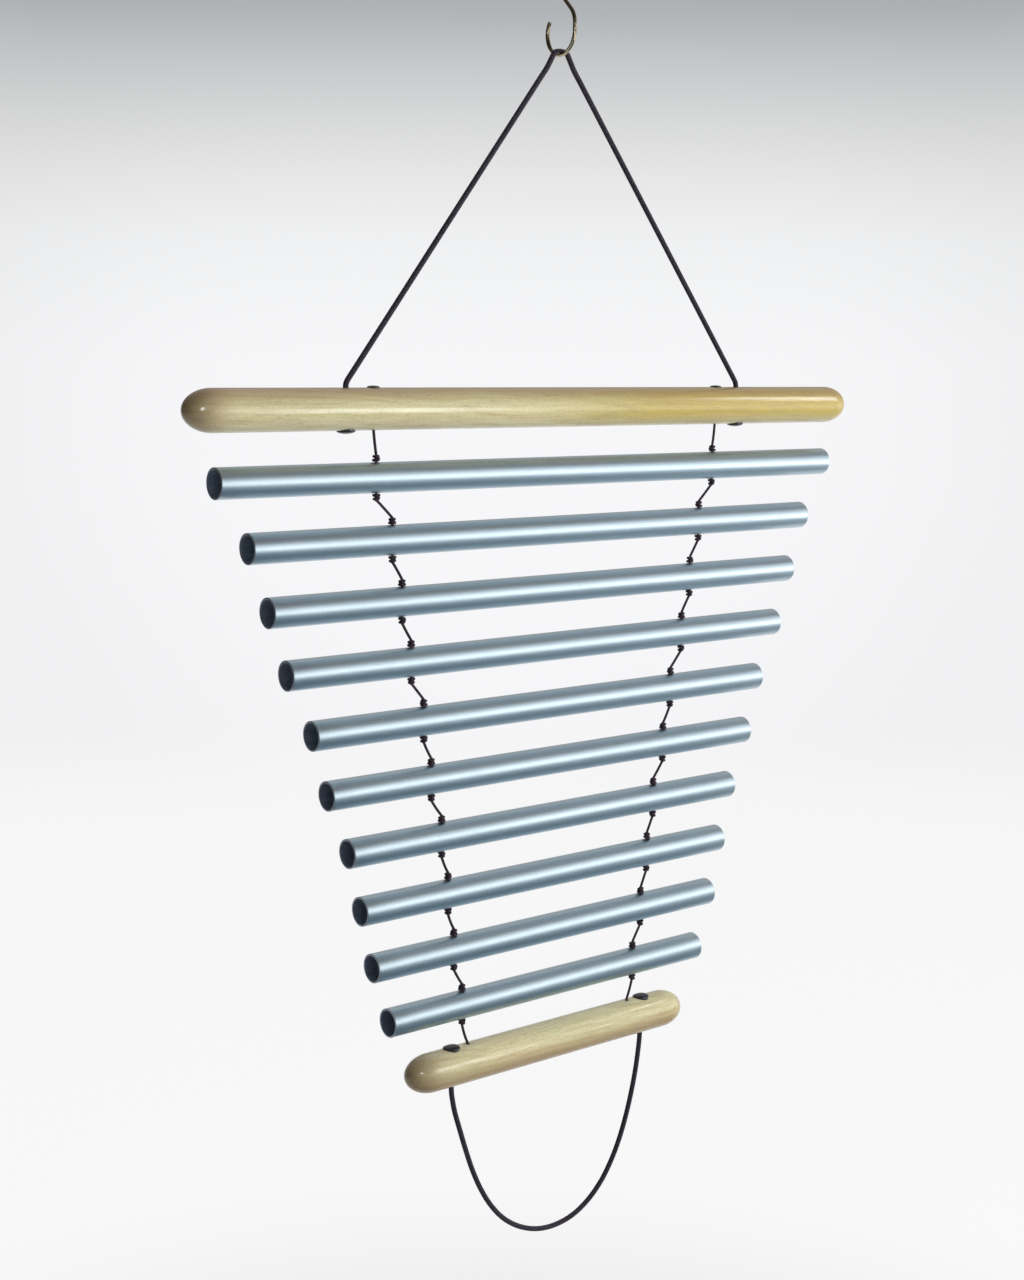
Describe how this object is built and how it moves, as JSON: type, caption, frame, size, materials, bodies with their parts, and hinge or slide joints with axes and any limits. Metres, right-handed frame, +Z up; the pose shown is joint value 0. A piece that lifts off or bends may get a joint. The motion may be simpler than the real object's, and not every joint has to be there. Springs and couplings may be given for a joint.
{
  "type": "circle chime",
  "caption": "Hanging tubular chime: metal tubes of falling length strung between wooden rails, hung by a cord on an S-hook, with a cord loop below.",
  "frame": {"origin": "underside of the wire at the top of the hook's upper bowl, where the chime is held", "axes": "+Z up, +X along the tubes to the right as seen from the front, +Y away from the front"},
  "size_m": [0.55, 0.0302, 0.8755],
  "materials": {
    "brass": "aged brass wire, half bright",
    "cord": "dark braided cord, matt",
    "string": "thin dark braided string, matt",
    "wood": "pale hardwood with fine lengthwise grain under clear gloss lacquer",
    "aluminium": "satin anodised, bluish grey",
    "cap": "black, half gloss"
  },
  "bodies": {
    "hook": {"brass_hook": "brass"},
    "hanging_cord": {"hanging_cord": "cord"},
    "top_rail": {"top_rail": "wood", "hanging_cord_knot_left": "cord", "hanging_cord_knot_right": "cord", "top_rail_cord_cap_left": "cap", "top_rail_cord_cap_right": "cap", "string_left_start": "string", "string_right_start": "string", "top_rail_string_cap_left": "cap", "top_rail_string_cap_right": "cap"},
    "tube_01": {"tube_01": "aluminium", "string_left_01": "string", "string_right_01": "string"},
    "tube_02": {"tube_02": "aluminium", "string_left_02": "string", "string_right_02": "string"},
    "tube_03": {"tube_03": "aluminium", "string_left_03": "string", "string_right_03": "string"},
    "tube_04": {"tube_04": "aluminium", "string_left_04": "string", "string_right_04": "string"},
    "tube_05": {"tube_05": "aluminium", "string_left_05": "string", "string_right_05": "string"},
    "tube_06": {"tube_06": "aluminium", "string_left_06": "string", "string_right_06": "string"},
    "tube_07": {"tube_07": "aluminium", "string_left_07": "string", "string_right_07": "string"},
    "tube_08": {"tube_08": "aluminium", "string_left_08": "string", "string_right_08": "string"},
    "tube_09": {"tube_09": "aluminium", "string_left_09": "string", "string_right_09": "string"},
    "tube_10": {"tube_10": "aluminium", "string_left_10": "string", "string_right_10": "string"},
    "bottom_rail": {"bottom_rail": "wood", "loop_cord_knot_left": "cord", "loop_cord_knot_right": "cord", "bottom_rail_loop_cap_left": "cap", "bottom_rail_loop_cap_right": "cap", "string_left_end": "string", "string_right_end": "string", "bottom_rail_string_plug_left": "wood", "bottom_rail_string_plug_right": "wood"},
    "loop_cord": {"loop_cord": "cord"}
  },
  "joints": [
    {"name": "hanging_cord_swing", "type": "hinge", "parent": "hook", "child": "hanging_cord", "pos_m": [0, 0, -0.05915], "axis": [1, 0, 0], "range_deg": [-25, 25]},
    {"name": "top_rail_swing", "type": "hinge", "parent": "hanging_cord", "child": "top_rail", "pos_m": [0, 0, -0.28385], "axis": [1, 0, 0], "range_deg": [-15, 15]},
    {"name": "tube_01_swing", "type": "hinge", "parent": "top_rail", "child": "tube_01", "pos_m": [0, 0, -0.30985], "axis": [1, 0, 0], "range_deg": [-18, 18]},
    {"name": "tube_02_swing", "type": "hinge", "parent": "tube_01", "child": "tube_02", "pos_m": [0, 0, -0.35285], "axis": [1, 0, 0], "range_deg": [-18, 18]},
    {"name": "tube_03_swing", "type": "hinge", "parent": "tube_02", "child": "tube_03", "pos_m": [0, 0, -0.39195], "axis": [1, 0, 0], "range_deg": [-18, 18]},
    {"name": "tube_04_swing", "type": "hinge", "parent": "tube_03", "child": "tube_04", "pos_m": [0, 0, -0.43105], "axis": [1, 0, 0], "range_deg": [-18, 18]},
    {"name": "tube_05_swing", "type": "hinge", "parent": "tube_04", "child": "tube_05", "pos_m": [0, 0, -0.47015], "axis": [1, 0, 0], "range_deg": [-18, 18]},
    {"name": "tube_06_swing", "type": "hinge", "parent": "tube_05", "child": "tube_06", "pos_m": [0, 0, -0.50925], "axis": [1, 0, 0], "range_deg": [-18, 18]},
    {"name": "tube_07_swing", "type": "hinge", "parent": "tube_06", "child": "tube_07", "pos_m": [0, 0, -0.54835], "axis": [1, 0, 0], "range_deg": [-18, 18]},
    {"name": "tube_08_swing", "type": "hinge", "parent": "tube_07", "child": "tube_08", "pos_m": [0, 0, -0.58745], "axis": [1, 0, 0], "range_deg": [-18, 18]},
    {"name": "tube_09_swing", "type": "hinge", "parent": "tube_08", "child": "tube_09", "pos_m": [0, 0, -0.62655], "axis": [1, 0, 0], "range_deg": [-18, 18]},
    {"name": "tube_10_swing", "type": "hinge", "parent": "tube_09", "child": "tube_10", "pos_m": [0, 0, -0.66565], "axis": [1, 0, 0], "range_deg": [-18, 18]},
    {"name": "bottom_rail_swing", "type": "hinge", "parent": "tube_10", "child": "bottom_rail", "pos_m": [0, 0, -0.70475], "axis": [1, 0, 0], "range_deg": [-18, 18]},
    {"name": "loop_cord_swing", "type": "hinge", "parent": "bottom_rail", "child": "loop_cord", "pos_m": [0, 0, -0.74515], "axis": [1, 0, 0], "range_deg": [-30, 30]}
  ]
}
